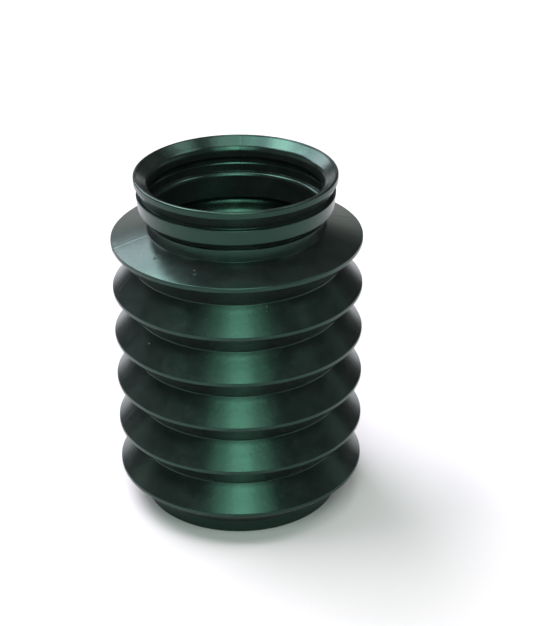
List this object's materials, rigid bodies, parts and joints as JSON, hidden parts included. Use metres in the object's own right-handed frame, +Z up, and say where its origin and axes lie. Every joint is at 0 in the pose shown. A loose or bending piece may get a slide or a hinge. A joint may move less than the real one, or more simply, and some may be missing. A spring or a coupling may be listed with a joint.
{
  "type": "rubber bellows boot",
  "caption": "One-piece rubber bellows boot: even folds, a wide shoulder, a banded neck with a flared lip, and a short cuff. It covers a moving rod and keeps dirt out.",
  "frame": {"origin": "centre of the cuff's end face, the lowest point of the part", "axes": "+Z up the middle line from the cuff to the flared lip; the part is round, so X and Y are free"},
  "size_m": [0.1, 0.1, 0.1408],
  "materials": {
    "rubber": "semi-gloss moulded black-green rubber"
  },
  "bodies": {
    "root": {"bellows_boot": "rubber"}
  },
  "joints": []
}
